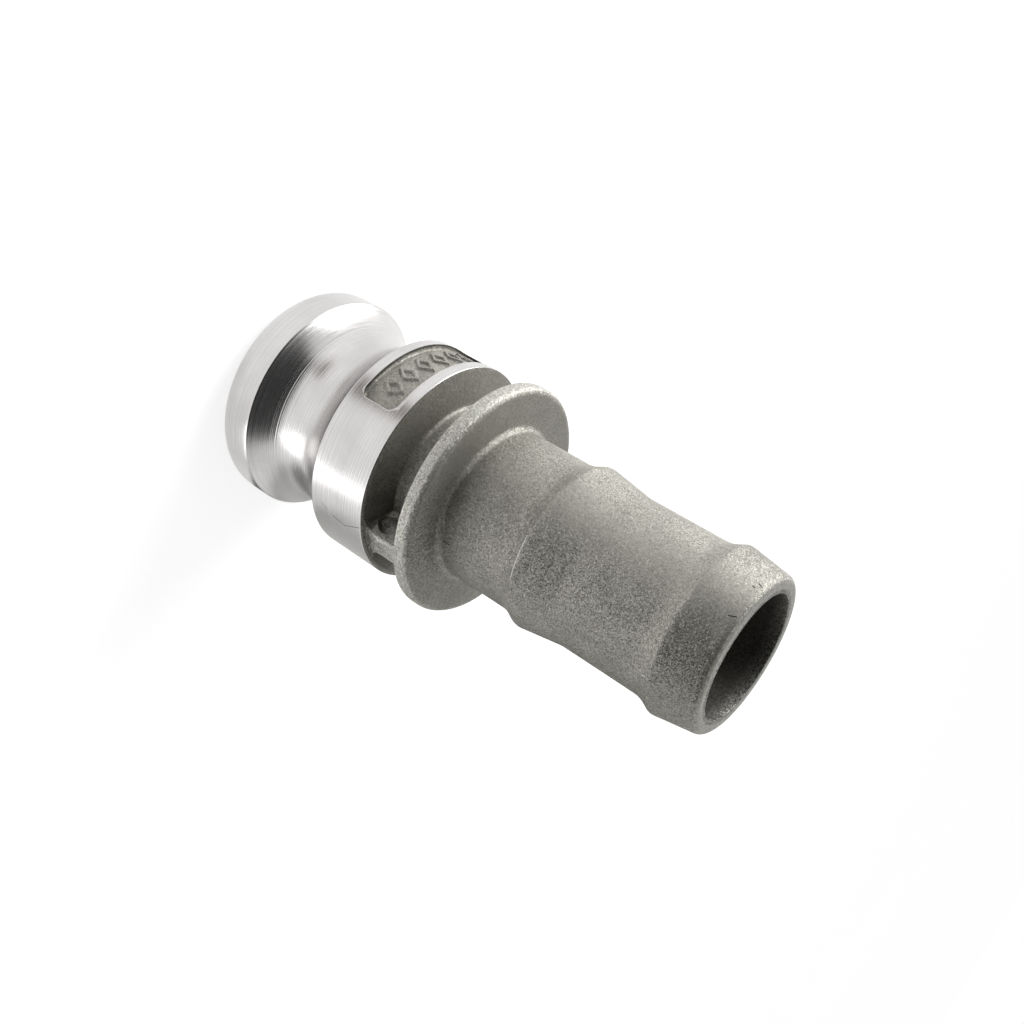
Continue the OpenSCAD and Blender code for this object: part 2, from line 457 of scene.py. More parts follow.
roughness = add(tree, "ShaderNodeMapRange",
                {0: rings, 1: NOISE_LOW, 2: NOISE_HIGH, 3: FINE_ROUGHNESS, 4: RING_ROUGHNESS})
roughness = add(tree, "ShaderNodeMath", {0: smears, 1: SMEAR_ROUGHNESS, 2: roughness},
                operation="MULTIPLY_ADD")
tree.links.new(roughness, shader.inputs["Roughness"])
streaks = add(tree, "ShaderNodeMath", {0: rings, 1: smears}, operation="MULTIPLY")
tone = add(tree, "ShaderNodeMapRange", {0: streaks, 1: STREAKS_LOW, 2: STREAKS_HIGH, 3: 0, 4: 1})
tone = add(tree, "ShaderNodeMix", {0: tone, 6: colour("#BCBAB9"), 7: colour("#D2D0CF")}, out=2,
           data_type="RGBA")
dull = add(tree, "ShaderNodeMath", {0: faint, 1: FAINT_SHARE, 2: scratch}, operation="MULTIPLY_ADD",
           use_clamp=True)
tone = add(tree, "ShaderNodeMix", {0: dull, 6: tone, 7: colour("#7A7877")}, out=2, data_type="RGBA")
tree.links.new(tone, shader.inputs["Base Color"])
depth = add(tree, "ShaderNodeMath", {0: scratch, 1: -SCRATCH_DEPTH, 2: rings}, operation="MULTIPLY_ADD")
relief = add(tree, "ShaderNodeBump",
             {"Height": depth, "Strength": TOOL_STRENGTH, "Distance": TOOL_DEPTH * MM})
tree.links.new(relief, shader.inputs["Normal"])
print("material:", turned_aluminium.name, "with", len(tree.nodes), "nodes")

# %% [markdown]
# ## Sand-cast aluminium
# The skin copies the grains of the moulding sand, which are about a fifth of a
# millimetre. Each grain leaves a small facet of its own slope, so the grey surface
# sparkles. A bump texture alone would look like soft leather, so a cell pattern gives
# each facet its grey and its slope, and a noise roughens them. A slow noise makes the
# grey vary over the piece, as oxide and handling do.

# %% Sand-cast aluminium: the grey of the grains
GRAIN = 0.2
GRIT = 3 * GRAIN
GRIT_SHARE = 0.5
GRAIN_LOW = 0.2
GRAIN_HIGH = 1.3
SKIN_PATCH = 7
PATCH_TONE = 0.08

sand_cast_aluminium, tree, shader = new_material("sand_cast_aluminium")
shader.inputs["Metallic"].default_value = 1
place = add(tree, "ShaderNodeTexCoord", out="Object")
facets = add(tree, "ShaderNodeTexVoronoi", {"Vector": place, "Scale": 1 / (GRAIN * MM)}, out="Color")
facet = add(tree, "ShaderNodeSeparateColor", {0: facets})
grit = add(tree, "ShaderNodeTexNoise", {"Vector": place, "Scale": 1 / (GRIT * MM), "Detail": 3.0})
patches = add(tree, "ShaderNodeTexNoise", {"Vector": place, "Scale": 1 / (SKIN_PATCH * MM), "Detail": 4.0})
grain = add(tree, "ShaderNodeMath", {0: grit, 1: GRIT_SHARE, 2: facet}, operation="MULTIPLY_ADD")
grey = add(tree, "ShaderNodeMapRange", {0: grain, 1: GRAIN_LOW, 2: GRAIN_HIGH, 3: 0, 4: 1})
tone = add(tree, "ShaderNodeMix", {0: grey, 6: colour("#7B7971"), 7: colour("#B8B6AF")}, out=2,
           data_type="RGBA")
patch = add(tree, "ShaderNodeMapRange",
            {0: patches, 1: NOISE_LOW, 2: NOISE_HIGH, 3: 1 - PATCH_TONE, 4: 1 + PATCH_TONE})
tone = add(tree, "ShaderNodeVectorMath", {0: tone, "Scale": patch}, operation="SCALE")
print("grains of", GRAIN, "mm, patches of", SKIN_PATCH, "mm")

# %% [markdown]
# ### The passage, the last barb and the narrow places
# A core of sand shapes the passage. Its facet pattern is the same as outside, only
# painted darker from the edge of the mouth onwards, as painted shade of the passage.
# Deep within, the skin is painted paler again, as painted light, because there the
# renderer loses more light than the real passage does. The last barb's taper is painted
# a little darker than the rest, as painted shade that tones down its highlight. Narrow
# places get painted shade too, and a share on each vertex, set further below, says
# where they are.

# %% Sand-cast aluminium: painted shade and painted light
PASSAGE_SHADE = 0.3
PASSAGE_EDGE = 0.4
DEEP_FROM = 2
DEEP_TO = 30
DEEP_LIGHT_GAIN = 5
LAST_TAPER_SHADE = 0.91
CREST_FADE = 0.6
PAINTED_SHADE_SHARE = 0.8

along_section = add(tree, "ShaderNodeAttribute", out="Fac", attribute_name="along")
# Painted shade from the mouth's edge onwards, and painted light deep in the passage.
passage_shade = add(tree, "ShaderNodeMapRange",
             {0: along_section, 1: passage_start, 2: passage_start + PASSAGE_EDGE * MM,
              3: 1, 4: PASSAGE_SHADE})
deep_painted_light = add(tree, "ShaderNodeMapRange",
             {0: along_section, 1: passage_start + DEEP_FROM * MM, 2: passage_start + DEEP_TO * MM,
              3: 1, 4: DEEP_LIGHT_GAIN})
passage_shade = add(tree, "ShaderNodeMath", {0: passage_shade, 1: deep_painted_light}, operation="MULTIPLY")
tone = add(tree, "ShaderNodeVectorMath", {0: tone, "Scale": passage_shade}, operation="SCALE")
spot_x = add(tree, "ShaderNodeSeparateXYZ", {0: place})
spot_z = spot_x.node.outputs[2]
last_crest = barb_feet[-1] + BARB_RISE
# Painted shade on the last taper, which tones down its highlight.
last_taper_shade = add(tree, "ShaderNodeMapRange",
                 {0: spot_z, 1: (last_crest - CREST_FADE) * MM, 2: (last_crest + CREST_FADE) * MM,
                  3: 1, 4: LAST_TAPER_SHADE})
tone = add(tree, "ShaderNodeVectorMath", {0: tone, "Scale": last_taper_shade}, operation="SCALE")
# Painted shade in narrow places, read from the share on each vertex.
painted_shade = add(tree, "ShaderNodeAttribute", out="Fac", attribute_name="shaded")
painted_shade = add(tree, "ShaderNodeMath", {0: painted_shade, 1: PAINTED_SHADE_SHARE}, operation="MULTIPLY")
tone = add(tree, "ShaderNodeMix", {0: painted_shade, 6: tone, 7: colour("#3A3935")}, out=2, data_type="RGBA")
print("last barb's crest at", round(last_crest, 2), "mm")

# %% [markdown]
# ### Worn edges and painted highlights
# The rim of the flange and the edge of the mouth are touched most, so the tops of their
# grains are worn bright, and their pale grains are also a painted highlight. The end of
# the eye gets the same pale grains, and there they are only a painted highlight. A
# second cell pattern, a little coarser than the first, gives each grain its own share of
# a pale grey, and the mask of these places lets it through. The eye's end is found by
# its place: beyond the eye's flat sides, and between the collar and the flange.

# %% Sand-cast aluminium: worn edges and painted highlights
GLINT = 0.24
GLINT_LOW = 0.15
GLINT_HIGH = 0.95
GLINT_LEAST = 0.05
GLINT_MOST = 0.72
EYE_REACH = 21.2
EYE_HIGHLIGHT_DEPTH = 0.12
FACE_MARGIN = 0.1

# The rim and the mouth's edge are worn and carry a painted highlight, and the eye's end gets a painted
# highlight only.
wear_and_highlight = add(tree, "ShaderNodeAttribute", out="Fac", attribute_name="rubbed_and_highlight")
eye_limits = (
    (spot_x, "GREATER_THAN", EYE_REACH - EYE_HIGHLIGHT_DEPTH),
    (spot_z, "GREATER_THAN", collar_back + FACE_MARGIN),
    (spot_z, "LESS_THAN", flange_front - FACE_MARGIN),
)
eye_end_highlight, above, below = [
    add(tree, "ShaderNodeMath", {0: value, 1: limit * MM}, operation=test)
    for value, test, limit in eye_limits
]
eye_end_highlight = add(tree, "ShaderNodeMath", {0: eye_end_highlight, 1: above}, operation="MULTIPLY")
eye_end_highlight = add(tree, "ShaderNodeMath", {0: eye_end_highlight, 1: below}, operation="MULTIPLY")
wear_and_highlight = add(tree, "ShaderNodeMath", {0: wear_and_highlight, 1: eye_end_highlight}, operation="MAXIMUM")
glints = add(tree, "ShaderNodeTexVoronoi", {"Vector": place, "Scale": 1 / (GLINT * MM)}, out="Color")
glint = add(tree, "ShaderNodeSeparateColor", {0: glints})
sparkle = add(tree, "ShaderNodeMapRange",
              {0: glint, 1: GLINT_LOW, 2: GLINT_HIGH, 3: GLINT_LEAST, 4: GLINT_MOST})
wear_and_highlight = add(tree, "ShaderNodeMath", {0: wear_and_highlight, 1: sparkle}, operation="MULTIPLY")
tone = add(tree, "ShaderNodeMix", {0: wear_and_highlight, 6: tone, 7: colour("#DDDCD6")}, out=2, data_type="RGBA")
print("rubbed: flange rim, mouth and the eye's last", EYE_HIGHLIGHT_DEPTH, "mm")

# %% [markdown]
# ### Marks of the mould and of use, and a painted highlight
# The photograph shows a chip on the last barb, three nicks near the mouth, a notch
# beside the flange and a scratch on its face. The first barb's crest carries a bright
# line, which is partly a burr and partly a painted highlight. The nicks and the notch
# are painted dark grey as well as dented. The seam is a low line where the mould's
# halves met. It is repeated half a turn away, and one stretch of it is rougher. Each
# mark is a stroke, given by angle and height.

# %% Sand-cast aluminium: marks
CREST_BELOW = 0.3
CREST_Z = barb_feet[0] + BARB_RISE - CREST_BELOW
CREST_BURR_AND_HIGHLIGHT = (-52, CREST_Z, -22, CREST_Z)
CHIP = (-12.4, 100.9, -13.9, 101.6)
BRIGHT_W = 0.3
NICKS = [
    (-98.2, 109.3, -97.9, 109.7),
    (-102.8, 109.8, -101.9, 110.5),
    (-72.7, 109.4, -74.5, 110.5),
]
NOTCH = (-14.9, 55.4, -14.9, 56.8)
NICK_W = 0.32
SEAM = [(a, flange_back, a, mouth) for a in (-13.5, 166.5)]
SEAM_W = 0.8
ROUGH_SEAM = (-11.7, 87, -11.7, 96)
ROUGH_SEAM_W = 1.6
FLANGE_SCRATCH = ((18.43, -3.17, flange_back), (16.72, -2.12, flange_back))
FLANGE_SCRATCH_W = 0.3
FLANGE_SCRATCH_SHARE = 0.6

scratch_from, scratch_to = [[v * MM for v in end] for end in FLANGE_SCRATCH]
scratch = add(tree, "ShaderNodeGroup",
              {"Where": place, "From": scratch_from, "To": scratch_to, "Width": FLANGE_SCRATCH_W * MM},
              node_tree=stroke)
# The crest line is partly a burr and partly a painted highlight. The chip and the flange's scratch are
# bright marks of use.
bright = strokes(tree, [CREST_BURR_AND_HIGHLIGHT, CHIP], BRIGHT_W)
bright = add(tree, "ShaderNodeMath", {0: scratch, 1: FLANGE_SCRATCH_SHARE, 2: bright},
             operation="MULTIPLY_ADD", use_clamp=True)
tone = add(tree, "ShaderNodeMix", {0: bright, 6: tone, 7: colour("#D8D7D2")}, out=2, data_type="RGBA")
nicks = strokes(tree, NICKS + [NOTCH], NICK_W)
tone = add(tree, "ShaderNodeMix", {0: nicks, 6: tone, 7: colour("#4A4945")}, out=2, data_type="RGBA")
seam = strokes(tree, SEAM, SEAM_W)
rough_seam = strokes(tree, [ROUGH_SEAM], ROUGH_SEAM_W)
tree.links.new(tone, shader.inputs["Base Color"])
print("marks:", len([CREST_BURR_AND_HIGHLIGHT, CHIP, NOTCH, FLANGE_SCRATCH, *NICKS]), "and", len(SEAM), "lines of seam")

# %% [markdown]
# ### Facets and relief
# The slope of a facet is a small random vector that is added to the surface's normal.
# A real facet is flat, and this gives it one flat tilt, where a bump texture would
# round it. The passage gets a smaller slope, because strong facets that are seen at a
# low angle turn black. Grit, the seam and the nicks are then a normal bump on top.

# %% Sand-cast aluminium: facets and relief
GRAIN_SLOPE = 0.44
PASSAGE_SLOPE = 0.4 * GRAIN_SLOPE
PASSAGE_FROM = 0.6
CAST_ROUGHNESS = (0.48, 0.7)
SEAM_HEIGHT = 0.8
LUMP_HEIGHT = 0.8
NICK_DEPTH = 3
SKIN_RELIEF = 0.08
SKIN_STRENGTH = 0.5

roughness = add(tree, "ShaderNodeMapRange",
                {0: facet.node.outputs[1], 1: 0, 2: 1, 3: CAST_ROUGHNESS[0], 4: CAST_ROUGHNESS[1]})
tree.links.new(roughness, shader.inputs["Roughness"])
slope = add(tree, "ShaderNodeVectorMath", {0: facets, 1: (0.5, 0.5, 0.5)}, operation="SUBTRACT")
steep = add(tree, "ShaderNodeMapRange",
            {0: passage_shade, 1: 1, 2: PASSAGE_FROM, 3: GRAIN_SLOPE, 4: PASSAGE_SLOPE})
slope = add(tree, "ShaderNodeVectorMath", {0: slope, "Scale": steep}, operation="SCALE")
plain = add(tree, "ShaderNodeNewGeometry", out="Normal")
tilted = add(tree, "ShaderNodeVectorMath", {0: plain, 1: slope}, operation="ADD")
tilted = add(tree, "ShaderNodeVectorMath", {0: tilted}, operation="NORMALIZE")
lumps = add(tree, "ShaderNodeMath", {0: rough_seam, 1: facet}, operation="MULTIPLY")
depth = grit
for mask, rise in ((seam, SEAM_HEIGHT), (lumps, LUMP_HEIGHT), (nicks, -NICK_DEPTH)):
    depth = add(tree, "ShaderNodeMath", {0: mask, 1: rise, 2: depth}, operation="MULTIPLY_ADD")
relief = add(tree, "ShaderNodeBump",
             {"Height": depth, "Strength": SKIN_STRENGTH, "Distance": SKIN_RELIEF * MM, "Normal": tilted})
tree.links.new(relief, shader.inputs["Normal"])
print("material:", sand_cast_aluminium.name, "with", len(tree.nodes), "nodes")

# %% [markdown]
# ## A lathe made of nodes
# A flat grid has as many columns as the lathe has steps, and a row for each point of
# the section. Each point of the grid looks up its place on the section and is turned
# about the axis, and the grid's edges are then merged into a closed skin. Where it is
# cast, a slow noise pushes it in a little, because a mould of sand is never quite
# round. Last, the two finishes are given out. The Screw modifier could turn the
# section too, but the tree also carries the three facts along.


# %% An empty geometry tree
def geometry_tree(name, sockets):
    """A geometry tree with inputs (name, kind, default). Returns it and its inputs by name."""
    tree = bpy.data.node_groups.new(name, "GeometryNodeTree")
    tree.interface.new_socket("Geometry", in_out="INPUT", socket_type="NodeSocketGeometry")
    for label, kind, value in sockets:
        tree.interface.new_socket(label, in_out="INPUT", socket_type=kind).default_value = value
    tree.interface.new_socket("Geometry", in_out="OUTPUT", socket_type="NodeSocketGeometry")
    return tree, add(tree, "NodeGroupInput").node.outputs


# %% The lathe: a grid that looks up the section
lathe, given = geometry_tree("lathe", [
    ("Rows", "NodeSocketInt", 10),
    ("Steps", "NodeSocketInt", 48),
    ("Unevenness", "NodeSocketFloat", 0),
    ("Patch", "NodeSocketFloat", 10 * MM),
    ("Seed", "NodeSocketFloat", 1),
    ("Turned finish", "NodeSocketMaterial", None),
    ("Cast finish", "NodeSocketMaterial", None),
])
columns = add(lathe, "ShaderNodeMath", {0: given["Steps"], 1: 1}, operation="ADD")
rows = add(lathe, "ShaderNodeMath", {0: given["Rows"], 1: 1}, operation="ADD")
grid = add(lathe, "GeometryNodeMeshGrid",
           {"Size X": 1, "Size Y": 1, "Vertices X": columns, "Vertices Y": rows})
grid_x = add(lathe, "ShaderNodeSeparateXYZ", {0: add(lathe, "GeometryNodeInputPosition")})
turn = add(lathe, "ShaderNodeMath", {0: grid_x, 1: math.tau}, operation="MULTIPLY")
level = grid_x.node.outputs[1]
for operation, value in (("ADD", 0.5), ("MULTIPLY", given["Rows"]), ("ROUND", 0), ("MODULO", given["Rows"])):
    level = add(lathe, "ShaderNodeMath", {0: level, 1: value}, operation=operation)
looked_up = {}
for fact in ("position", *point_facts):
    kind = "FLOAT_VECTOR" if fact == "position" else "FLOAT"
    value = add(lathe, "GeometryNodeInputNamedAttribute", {0: fact}, data_type=kind)
    looked_up[fact] = add(lathe, "GeometryNodeSampleIndex",
                          {"Geometry": given["Geometry"], "Value": value, "Index": level}, data_type=kind)
print("lathe:", len(lathe.nodes), "nodes look up", sorted(looked_up))

# %% The lathe: turning, unevenness and finishes
SEAM_GAP = 0.002
ALL_TURNED = 0.99

place = add(lathe, "ShaderNodeVectorRotate", {"Vector": looked_up["position"], "Angle": turn},
            rotation_type="Z_AXIS")
mesh = grid
for fact in point_facts:
    mesh = add(lathe, "GeometryNodeStoreNamedAttribute",
               {"Geometry": mesh, "Name": fact, "Value": looked_up[fact]}, data_type="FLOAT", domain="POINT")
mesh = add(lathe, "GeometryNodeSetPosition", {"Geometry": mesh, "Position": place})
mesh = add(lathe, "GeometryNodeMergeByDistance", {"Geometry": mesh, "Distance": SEAM_GAP * MM})
patch_scale = add(lathe, "ShaderNodeMath", {0: 1, 1: given["Patch"]}, operation="DIVIDE")
waves = add(lathe, "ShaderNodeTexNoise",
            {"Vector": add(lathe, "GeometryNodeInputPosition"), "W": given["Seed"], "Scale": patch_scale,
             "Detail": 1.0}, noise_dimensions="4D")
lathe_cut = add(lathe, "GeometryNodeInputNamedAttribute", {0: "turned"}, data_type="FLOAT")
cast_share = add(lathe, "ShaderNodeMath", {0: 1, 1: lathe_cut}, operation="SUBTRACT")
push = add(lathe, "ShaderNodeMath", {0: waves, 1: cast_share}, operation="MULTIPLY")
push = add(lathe, "ShaderNodeMath", {0: push, 1: given["Unevenness"]}, operation="MULTIPLY")
outward = add(lathe, "GeometryNodeInputNormal")
offset = add(lathe, "ShaderNodeVectorMath", {0: outward, "Scale": push}, operation="SCALE")
mesh = add(lathe, "GeometryNodeSetPosition", {"Geometry": mesh, "Offset": offset})
mesh = add(lathe, "GeometryNodeRealizeInstances", {"Geometry": mesh})
mesh = add(lathe, "GeometryNodeSetMaterial", {"Geometry": mesh, "Material": given["Cast finish"]})
on_face = add(lathe, "GeometryNodeFieldOnDomain", {0: lathe_cut}, data_type="FLOAT", domain="FACE")
whole_face = add(lathe, "FunctionNodeCompare", {0: on_face, 1: ALL_TURNED}, operation="GREATER_THAN")
mesh = add(lathe, "GeometryNodeSetMaterial",
           {"Geometry": mesh, "Selection": whole_face, "Material": given["Turned finish"]})
add(lathe, "NodeGroupOutput", {0: mesh})
print("lathe:", len(lathe.nodes), "nodes")


# %% Running a tree
def keep_result(thing):
    """Turns what an object's modifiers make into its plain mesh, and removes them."""
    bpy.context.view_layer.update()
    result = thing.evaluated_get(bpy.context.evaluated_depsgraph_get())
    thing.data = bpy.data.meshes.new_from_object(result)
    thing.modifiers.clear()
    if thing.data.materials[0] is None:
        thing.data.materials.pop(index=0)


def run_nodes(thing, tree, values):
    """Runs a geometry tree on an object and keeps the result as its plain mesh."""
    modifier = thing.modifiers.new(tree.name, "NODES")
    modifier.node_group = tree
    sockets = {s.name: s.identifier for s in tree.interface.items_tree if s.in_out == "INPUT"}
    for name, value in values.items():
        modifier[sockets[name]] = value
    keep_result(thing)


# %% Turning the body
LATHE_STEPS = 240
UNEVENNESS = 0.06
SKIN_WAVE = 11

run_nodes(body, lathe, {
    "Rows": len(profile),
    "Steps": LATHE_STEPS,
    "Unevenness": -UNEVENNESS * MM,
    "Patch": SKIN_WAVE * MM,
    "Seed": 3.0,
    "Turned finish": turned_aluminium,
    "Cast finish": sand_cast_aluminium,
})
print("turned body:", len(body.data.polygons), "faces")
print("finishes:", [m.name for m in body.data.materials])

# %% [markdown]
# ## The pocket in the collar
# The mould left a shallow pocket in the collar. A row of plain raised lozenges stands
# on its floor. The pocket is a tool shape that is taken away from the body. Its
# underside is a fine sheet, whose height over the floor is a formula: it rises steeply
# near the edge of a rounded rectangle, with the soft foot of a cast wall, and it rises
# a little within each lozenge's line. The formula repeats by the angle about the axis,
# so a count and a step set the whole row. Carving it by hand would leave no sizes to
# change.

# %% Sizes of the pocket, in millimetres and degrees
POCKET_W = 28.7
POCKET_LEN = 8.6
POCKET_CORNER = 1.8
POCKET_DEPTH = 1.1
POCKET_EDGE = 2.4
POCKET_ANGLE = -108.5
POCKET_FOOT = 0.55
MARK_COUNT = 6
MARK_STEP = 11
MARK_W = 3.4
MARK_LEN = 5.2
MARK_LINE = 0.66
MARK_H = 0.5
MARK_SOFT = 0.14
SHEET_STEP = 0.15
SHEET_MARGIN = 0.4
LID_OVER = 1.2

pocket_z = collar_back - POCKET_EDGE - POCKET_LEN / 2
pocket_floor_r = HEAD_R - POCKET_DEPTH
sheet_w = POCKET_W + 2 * SHEET_MARGIN
sheet_len = POCKET_LEN + 2 * SHEET_MARGIN
print("pocket from", round(pocket_z - POCKET_LEN / 2, 2), "to", round(pocket_z + POCKET_LEN / 2, 2), "mm")

# %% The pocket's tree: the distance to its edge
pocket, given = geometry_tree("pocket", [
    ("Width", "NodeSocketFloat", POCKET_W * MM),
    ("Length", "NodeSocketFloat", POCKET_LEN * MM),
    ("Corner", "NodeSocketFloat", POCKET_CORNER * MM),
    ("Depth", "NodeSocketFloat", POCKET_DEPTH * MM),
    ("Foot", "NodeSocketFloat", POCKET_FOOT * MM),
    ("Floor radius", "NodeSocketFloat", pocket_floor_r * MM),
    ("Lid radius", "NodeSocketFloat", (HEAD_R + LID_OVER) * MM),
    ("Marks", "NodeSocketInt", MARK_COUNT),
    ("Mark step", "NodeSocketFloat", math.radians(MARK_STEP)),
    ("Mark height", "NodeSocketFloat", MARK_H * MM),
    ("Finish", "NodeSocketMaterial", None),
])
block = add(pocket, "GeometryNodeMeshCube", {
    "Size": (sheet_w * MM, sheet_len * MM, MM),
    "Vertices X": math.ceil(sheet_w / SHEET_STEP),
    "Vertices Y": math.ceil(sheet_len / SHEET_STEP),
    "Vertices Z": 2,
})
where = add(pocket, "ShaderNodeSeparateXYZ", {0: add(pocket, "GeometryNodeInputPosition")})
side = where.node.outputs[2]
far = []
for axis, size in ((0, "Width"), (1, "Length")):
    half = add(pocket, "ShaderNodeMath", {0: given[size], 1: 0.5}, operation="MULTIPLY")
    core = add(pocket, "ShaderNodeMath", {0: half, 1: given["Corner"]}, operation="SUBTRACT")
    out = add(pocket, "ShaderNodeMath", {0: where.node.outputs[axis]}, operation="ABSOLUTE")
    far.append(add(pocket, "ShaderNodeMath", {0: out, 1: core}, operation="SUBTRACT"))
outer = [add(pocket, "ShaderNodeMath", {0: f, 1: 0}, operation="MAXIMUM") for f in far]
beyond = add(pocket, "ShaderNodeVectorMath",
             {0: add(pocket, "ShaderNodeCombineXYZ", {0: outer[0], 1: outer[1]})}, out=1, operation="LENGTH")
within = add(pocket, "ShaderNodeMath", {0: far[0], 1: far[1]}, operation="MAXIMUM")
within = add(pocket, "ShaderNodeMath", {0: within, 1: 0}, operation="MINIMUM")
edge = add(pocket, "ShaderNodeMath", {0: beyond, 1: within}, operation="ADD")
edge = add(pocket, "ShaderNodeMath", {0: edge, 1: given["Corner"]}, operation="SUBTRACT")
print("sheet:", math.ceil(sheet_w / SHEET_STEP), "by", math.ceil(sheet_len / SHEET_STEP), "points")

# %% The pocket's tree: the wall
WALL_POWER = 3
WALL_TOP = 1.5

climb = edge
for operation, value in (("ADD", given["Foot"]), ("MAXIMUM", 0), ("DIVIDE", given["Foot"]),
                         ("POWER", WALL_POWER), ("MINIMUM", WALL_TOP)):
    climb = add(pocket, "ShaderNodeMath", {0: climb, 1: value}, operation=operation)
wall = add(pocket, "ShaderNodeMath", {0: climb, 1: given["Depth"]}, operation="MULTIPLY")
print("wall rises", POCKET_DEPTH, "mm in its last", POCKET_FOOT, "mm")

# %% The pocket's tree: which lozenge, and how far from its middle
lean = add(pocket, "ShaderNodeMath", {0: where, 1: given["Floor radius"]}, operation="DIVIDE")
lean = add(pocket, "ShaderNodeMath", {0: lean}, operation="ARCSINE")
row = add(pocket, "ShaderNodeMath", {0: given["Marks"], 1: given["Mark step"]}, operation="MULTIPLY")
row = add(pocket, "ShaderNodeMath", {0: row, 1: 0.5}, operation="MULTIPLY")
shifted = add(pocket, "ShaderNodeMath", {0: lean, 1: row}, operation="ADD")
cell = add(pocket, "ShaderNodeMath", {0: shifted, 1: given["Mark step"], 2: 0}, operation="WRAP")
half_step = add(pocket, "ShaderNodeMath", {0: given["Mark step"], 1: 0.5}, operation="MULTIPLY")
cell = add(pocket, "ShaderNodeMath", {0: cell, 1: half_step}, operation="SUBTRACT")
cell = add(pocket, "ShaderNodeMath", {0: cell, 1: given["Floor radius"]}, operation="MULTIPLY")
cell = add(pocket, "ShaderNodeMath", {0: cell}, operation="ABSOLUTE")
cell = add(pocket, "ShaderNodeMath", {0: cell, 1: 2 / (MARK_W * MM)}, operation="MULTIPLY")
tall = add(pocket, "ShaderNodeMath", {0: where.node.outputs[1]}, operation="ABSOLUTE")
tall = add(pocket, "ShaderNodeMath", {0: tall, 1: 2 / (MARK_LEN * MM)}, operation="MULTIPLY")
print("row:", MARK_COUNT, "lozenges,", MARK_STEP, "degrees apart")

# %% The pocket's tree: the raised lines
line_half = MARK_LINE * MM / 2
slant = MARK_W * MARK_LEN / (2 * math.hypot(MARK_W, MARK_LEN)) * MM
lozenge = add(pocket, "ShaderNodeMath", {0: cell, 1: tall}, operation="ADD")
lozenge = add(pocket, "ShaderNodeMath", {0: lozenge, 1: 1}, operation="SUBTRACT")
lozenge = add(pocket, "ShaderNodeMath", {0: lozenge, 1: slant, 2: line_half}, operation="MULTIPLY_ADD")
lozenge = add(pocket, "ShaderNodeMath", {0: lozenge}, operation="ABSOLUTE")
ridge = add(pocket, "ShaderNodeMapRange",
            {0: lozenge, 1: line_half + MARK_SOFT * MM, 2: line_half - MARK_SOFT * MM, 3: 0, 4: 1},
            interpolation_type="SMOOTHSTEP")
lean_size = add(pocket, "ShaderNodeMath", {0: lean}, operation="ABSOLUTE")
in_row = add(pocket, "ShaderNodeMath", {0: lean_size, 1: row}, operation="LESS_THAN")
ridge = add(pocket, "ShaderNodeMath", {0: ridge, 1: in_row}, operation="MULTIPLY")
ridge = add(pocket, "ShaderNodeMath", {0: ridge, 1: given["Mark height"]}, operation="MULTIPLY")
height = add(pocket, "ShaderNodeMath", {0: wall, 1: ridge}, operation="MAXIMUM")
print("lines:", MARK_LINE, "mm wide,", MARK_H, "mm high")

# %% The pocket's tree: bending the sheet round the collar
under = add(pocket, "ShaderNodeMath", {0: given["Floor radius"], 1: height}, operation="ADD")
is_lid = add(pocket, "FunctionNodeCompare", {0: side, 1: 0.0}, operation="GREATER_THAN")
radius = add(pocket, "GeometryNodeSwitch", {0: is_lid, 1: under, 2: given["Lid radius"]},
             input_type="FLOAT")
squared = add(pocket, "ShaderNodeMath", {0: radius, 1: 2}, operation="POWER")
across = add(pocket, "ShaderNodeMath", {0: where, 1: 2}, operation="POWER")
deep = add(pocket, "ShaderNodeMath", {0: squared, 1: across}, operation="SUBTRACT")
deep = add(pocket, "ShaderNodeMath", {0: deep}, operation="SQRT")
bent = add(pocket, "ShaderNodeCombineXYZ", {0: deep, 1: where, 2: where.node.outputs[1]})
mesh = add(pocket, "GeometryNodeSetPosition", {"Geometry": block, "Position": bent})
mesh = add(pocket, "GeometryNodeTransform", {
    "Geometry": mesh,
    "Translation": (0, 0, pocket_z * MM),
    "Rotation": (0, 0, math.radians(POCKET_ANGLE)),
})
mesh = add(pocket, "GeometryNodeRealizeInstances", {"Geometry": mesh})
mesh = add(pocket, "GeometryNodeSetMaterial", {"Geometry": mesh, "Material": given["Finish"]})
add(pocket, "NodeGroupOutput", {0: mesh})

pocket_tool = show(bpy.data.objects.new("pocket_tool", bpy.data.meshes.new("pocket_tool")))
run_nodes(pocket_tool, pocket, {"Marks": MARK_COUNT, "Finish": sand_cast_aluminium})
print("pocket tool:", len(pocket_tool.data.polygons), "faces from", len(pocket.nodes), "nodes")

# %% [markdown]
# ## The eye
# An eye for a ring or chain stands between collar and flange. It is a thin wall whose
# outline spreads into both faces with fillets. Loops of that outline are stacked
# outward, and the last ones draw in along a quarter of a circle, so the outer edge is
# soft. A plain extrusion with a bevel could do the same, but loops keep every fillet
# exact. The hole is a stack of circles, a little wider at both ends, where the core's
# edge has worn.


# %% Stacks of loops
def stacked(name, loops, material):
    """A closed mesh through loops of equally many points, with a face over both ends."""
    count = len(loops[0])
    faces = [list(range(count))[::-1], [len(loops) * count - count + i for i in range(count)]]
    for level in range(len(loops) - 1):
        for i in range(count):
            low, next_low = level * count + i, level * count + (i + 1) % count
            faces.append([low, next_low, next_low + count, low + count])
    mesh = bpy.data.meshes.new(name)
    mesh.from_pydata([tuple(v * MM for v in p) for loop in loops for p in loop], [], faces)
    mesh.materials.append(material)
    return show(bpy.data.objects.new(name, mesh))


# %% The eye's wall
EYE_W = 5.5
EYE_ROOT = 13.5
EYE_FILLET = 2.5
EYE_EDGE = 0.35
EYE_SUNK = 1
FLARE_SPARE = 0.2
EDGE_STEPS = 4


